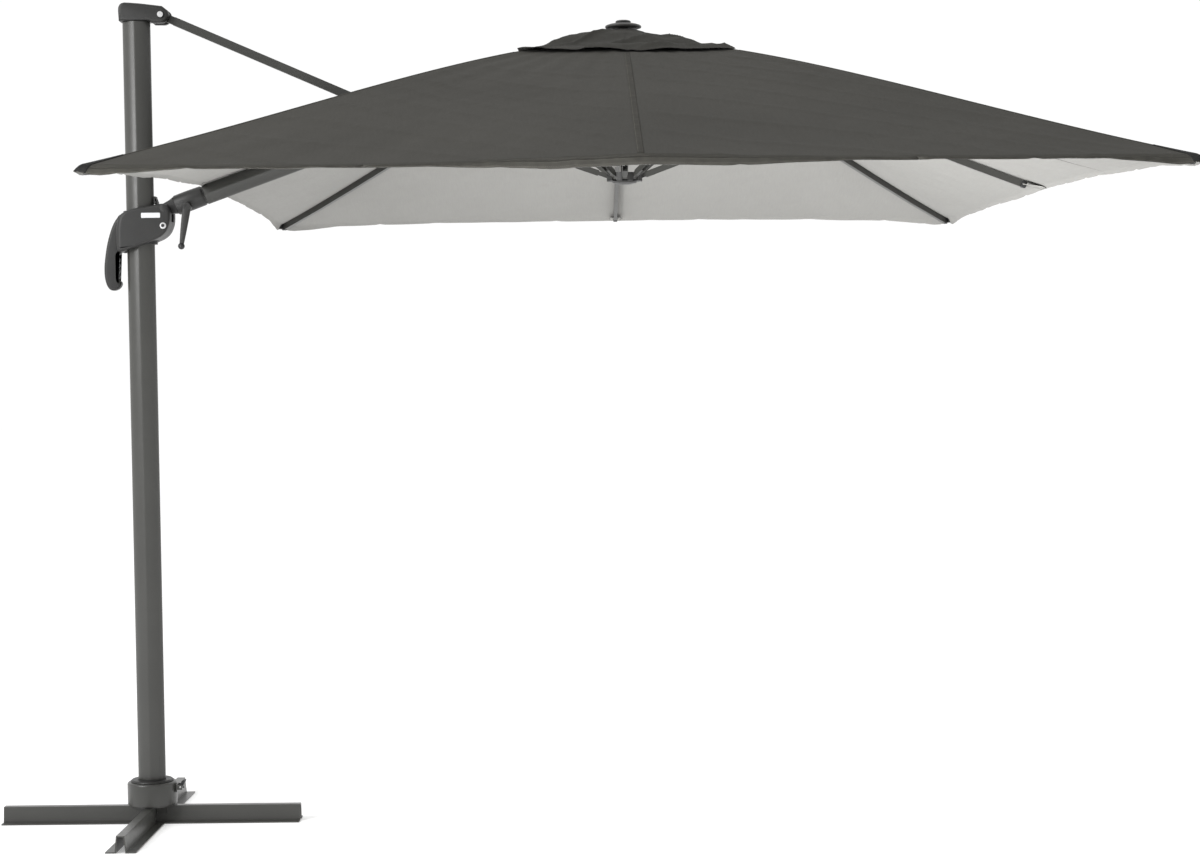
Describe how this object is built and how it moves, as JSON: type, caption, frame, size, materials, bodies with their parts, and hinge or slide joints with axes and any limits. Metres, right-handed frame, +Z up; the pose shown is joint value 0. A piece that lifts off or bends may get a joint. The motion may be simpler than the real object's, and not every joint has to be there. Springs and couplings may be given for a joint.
{
  "type": "cantilever parasol",
  "caption": "Side-post garden parasol: cross base, turning oval mast, sliding grip, strut-held folding boom and a rectangular ribbed canopy with a vent.",
  "frame": {"origin": "on the floor under the mast's axis, at the flat head of the base's centre bolt", "axes": "+X along the boom towards the canopy, +Z up, +Y towards the far long half of the canopy"},
  "size_m": [3.6485, 3.8678, 2.819],
  "materials": {
    "frame_steel": "anthracite powder coat, satin",
    "frame_aluminium": "anthracite powder coat, satin",
    "grey_moulding": "fine-grained anthracite moulding",
    "black_moulding": "black moulding",
    "bright_steel": "zinc plated",
    "canopy_fabric": "woven polyester, dark warm grey outside and light underneath",
    "blank_label": "blank plate"
  },
  "bodies": {
    "base": {"cross_arm_x": "frame_steel", "cross_arm_y": "frame_steel", "centre_bolt": "bright_steel", "foot_plate": "frame_steel", "base_hub": "frame_steel", "pedal_bracket": "frame_steel", "pedal_pin": "bright_steel"},
    "mast": {"mast_foot": "frame_aluminium", "turning_cover": "grey_moulding", "mast_tube": "frame_steel", "mast_cap": "grey_moulding", "cap_bolt": "bright_steel"},
    "pedal": {"rotation_pedal": "black_moulding"},
    "strut": {"strut_tube": "frame_aluminium", "strut_top_end": "frame_aluminium", "strut_fork": "frame_aluminium", "strut_pin": "bright_steel"},
    "boom_arm": {"tilt_sleeve": "grey_moulding", "strut_collar": "frame_aluminium"},
    "slider": {"slider_housing_near": "grey_moulding", "slider_housing_far": "grey_moulding", "slider_carriage": "black_moulding", "carriage_stop": "grey_moulding", "knuckle_pin": "bright_steel", "housing_bolt": "bright_steel", "housing_nut": "bright_steel", "label_plate": "blank_label"},
    "trigger": {"release_trigger": "black_moulding"},
    "clamp_lever": {"clamp_lever": "grey_moulding", "lever_knob": "black_moulding"},
    "boom": {"boom_tube": "frame_aluminium", "boom_journal": "frame_aluminium", "collar_bush": "black_moulding", "boom_head": "frame_aluminium"},
    "crown": {"crown_hub": "grey_moulding", "crown_post": "grey_moulding", "finial_disc": "grey_moulding", "finial_knob": "grey_moulding", "canopy": "canopy_fabric", "vent_canopy": "canopy_fabric"},
    "boom_stretcher": {"boom_stretcher": "frame_aluminium"},
    "runner": {"runner_hub": "grey_moulding", "runner_cap": "grey_moulding"},
    "rib_right": {"rib_right": "frame_aluminium"},
    "stretcher_right": {"stretcher_right": "frame_aluminium"},
    "rib_far_right": {"rib_far_right": "frame_aluminium"},
    "stretcher_far_right": {"stretcher_far_right": "frame_aluminium"},
    "rib_far": {"rib_far": "frame_aluminium"},
    "stretcher_far": {"stretcher_far": "frame_aluminium"},
    "rib_far_left": {"rib_far_left": "frame_aluminium"},
    "stretcher_far_left": {"stretcher_far_left": "frame_aluminium"},
    "rib_near_left": {"rib_near_left": "frame_aluminium"},
    "stretcher_near_left": {"stretcher_near_left": "frame_aluminium"},
    "rib_near": {"rib_near": "frame_aluminium"},
    "stretcher_near": {"stretcher_near": "frame_aluminium"},
    "rib_near_right": {"rib_near_right": "frame_aluminium"},
    "stretcher_near_right": {"stretcher_near_right": "frame_aluminium"}
  },
  "joints": [
    {"name": "mast_turn", "type": "hinge", "parent": "base", "child": "mast", "pos_m": [0, 0, 0.1], "axis": [0, 0, 1], "continuous": true},
    {"name": "pedal_press", "type": "hinge", "parent": "base", "child": "pedal", "pos_m": [0.101, 0, 0.122], "axis": [0, 1, 0], "range_deg": [0, 18], "stiffness_Nm_per_rad": 0.6, "springref_deg": -17.19},
    {"name": "fold", "type": "hinge", "parent": "mast", "child": "strut", "pos_m": [0.09, 0, 2.775], "axis": [0, 1, 0], "range_deg": [0, 66], "deforming": ["canopy", "vent_canopy"]},
    {"name": "strut_to_boom", "type": "hinge", "parent": "strut", "child": "boom_arm", "pos_m": [0.84076, 0, 2.447], "axis": [0, 1, 0], "range_deg": [-132.5, 0.5]},
    {"name": "slider_level", "type": "hinge", "parent": "boom_arm", "child": "slider", "pos_m": [0.09, 0, 2.119], "axis": [0, 1, 0], "range_deg": [-0.5, 66.5]},
    {"name": "trigger_pull", "type": "slide", "parent": "slider", "child": "trigger", "axis": [-1, 0, 0], "range_m": [0, 0.006], "stiffness_N_per_m": 400, "springref_m": -0.002},
    {"name": "lever_turn", "type": "hinge", "parent": "boom_arm", "child": "clamp_lever", "pos_m": [0.17026, 0, 2.12308], "axis": [0, 1, 0], "range_deg": [-100, 0]},
    {"name": "side_tilt", "type": "hinge", "parent": "boom_arm", "child": "boom", "pos_m": [0.09, 0, 2.119], "axis": [0.9424, 0, 0.3345], "range_deg": [-25, 25]},
    {"name": "crown_level", "type": "hinge", "parent": "boom", "child": "crown", "pos_m": [1.614, 0, 2.65989], "axis": [-0.0102, 0.9995, 0.0288], "range_deg": [-0.5, 66.5]},
    {"name": "boom_stretcher_swing", "type": "hinge", "parent": "boom", "child": "boom_stretcher", "pos_m": [0.98447, 0, 2.43646], "axis": [-0.0102, 0.9995, 0.0288], "range_deg": [-0.5, 132.5]},
    {"name": "runner_level", "type": "hinge", "parent": "boom_stretcher", "child": "runner", "pos_m": [1.61393, 0.01286, 2.21322], "axis": [-0.0102, 0.9995, 0.0288], "range_deg": [-66.5, 0.5]},
    {"name": "rib_right_fold", "type": "hinge", "parent": "crown", "child": "rib_right", "pos_m": [1.71399, 0.00102, 2.6599], "axis": [-0.0102, 0.9995, 0.0288], "range_deg": [-0.5, 65.43]},
    {"name": "stretcher_right_fold", "type": "hinge", "parent": "runner", "child": "stretcher_right", "pos_m": [1.71393, 0.01388, 2.21323], "axis": [-0.0102, 0.9995, 0.0288], "range_deg": [-64.23, 0.5]},
    {"name": "rib_far_right_fold", "type": "hinge", "parent": "crown", "child": "rib_far_right", "pos_m": [1.69372, 0.0407, 2.66105], "axis": [-0.8041, 0.5942, 0.0172], "range_deg": [-0.5, 72.56]},
    {"name": "stretcher_far_right_fold", "type": "hinge", "parent": "runner", "child": "stretcher_far_right", "pos_m": [1.69365, 0.05356, 2.21438], "axis": [-0.8041, 0.5942, 0.0172], "range_deg": [-54.72, 0.5]},
    {"name": "rib_far_fold", "type": "hinge", "parent": "crown", "child": "rib_far", "pos_m": [1.66349, 0.05049, 2.66133], "axis": [-0.9999, -0.0102, -0.0001], "range_deg": [-0.5, 69.8]},
    {"name": "stretcher_far_fold", "type": "hinge", "parent": "runner", "child": "stretcher_far", "pos_m": [1.66342, 0.06335, 2.21466], "axis": [-0.9999, -0.0102, -0.0001], "range_deg": [-58.89, 0.5]},
    {"name": "rib_far_left_fold", "type": "hinge", "parent": "crown", "child": "rib_far_left", "pos_m": [1.63346, 0.04008, 2.66104], "axis": [-0.7918, -0.6105, -0.0175], "range_deg": [-0.5, 72.56]},
    {"name": "stretcher_far_left_fold", "type": "hinge", "parent": "runner", "child": "stretcher_far_left", "pos_m": [1.63339, 0.05294, 2.21437], "axis": [-0.7918, -0.6105, -0.0175], "range_deg": [-54.72, 0.5]},
    {"name": "rib_near_left_fold", "type": "hinge", "parent": "crown", "child": "rib_near_left", "pos_m": [1.63427, -0.03968, 2.65874], "axis": [0.8041, -0.5942, -0.0172], "range_deg": [-0.5, 72.56]},
    {"name": "stretcher_near_left_fold", "type": "hinge", "parent": "runner", "child": "stretcher_near_left", "pos_m": [1.63421, -0.02682, 2.21207], "axis": [0.8041, -0.5942, -0.0172], "range_deg": [-54.72, 0.5]},
    {"name": "rib_near_fold", "type": "hinge", "parent": "crown", "child": "rib_near", "pos_m": [1.66451, -0.04947, 2.65846], "axis": [0.9999, 0.0102, 0.0001], "range_deg": [-0.5, 69.8]},
    {"name": "stretcher_near_fold", "type": "hinge", "parent": "runner", "child": "stretcher_near", "pos_m": [1.66444, -0.03661, 2.21179], "axis": [0.9999, 0.0102, 0.0001], "range_deg": [-58.89, 0.5]},
    {"name": "rib_near_right_fold", "type": "hinge", "parent": "crown", "child": "rib_near_right", "pos_m": [1.69454, -0.03906, 2.65875], "axis": [0.7918, 0.6105, 0.0175], "range_deg": [-0.5, 72.56]},
    {"name": "stretcher_near_right_fold", "type": "hinge", "parent": "runner", "child": "stretcher_near_right", "pos_m": [1.69447, -0.0262, 2.21208], "axis": [0.7918, 0.6105, 0.0175], "range_deg": [-54.72, 0.5]}
  ],
  "couplings": [
    {"joint": "strut_to_boom", "follows": "fold", "ratio": -2},
    {"joint": "slider_level", "follows": "fold", "ratio": 1},
    {"joint": "crown_level", "follows": "fold", "ratio": 1},
    {"joint": "boom_stretcher_swing", "follows": "fold", "ratio": 2},
    {"joint": "runner_level", "follows": "fold", "ratio": -1},
    {"joint": "rib_right_fold", "follows": "fold", "ratio": 0.98379},
    {"joint": "stretcher_right_fold", "follows": "fold", "ratio": -0.96563},
    {"joint": "rib_far_right_fold", "follows": "fold", "ratio": 1.0918},
    {"joint": "stretcher_far_right_fold", "follows": "fold", "ratio": -0.82145},
    {"joint": "rib_far_fold", "follows": "fold", "ratio": 1.05},
    {"joint": "stretcher_far_fold", "follows": "fold", "ratio": -0.88471},
    {"joint": "rib_far_left_fold", "follows": "fold", "ratio": 1.0918},
    {"joint": "stretcher_far_left_fold", "follows": "fold", "ratio": -0.82145},
    {"joint": "rib_near_left_fold", "follows": "fold", "ratio": 1.0918},
    {"joint": "stretcher_near_left_fold", "follows": "fold", "ratio": -0.82145},
    {"joint": "rib_near_fold", "follows": "fold", "ratio": 1.05},
    {"joint": "stretcher_near_fold", "follows": "fold", "ratio": -0.88471},
    {"joint": "rib_near_right_fold", "follows": "fold", "ratio": 1.0918},
    {"joint": "stretcher_near_right_fold", "follows": "fold", "ratio": -0.82145}
  ]
}
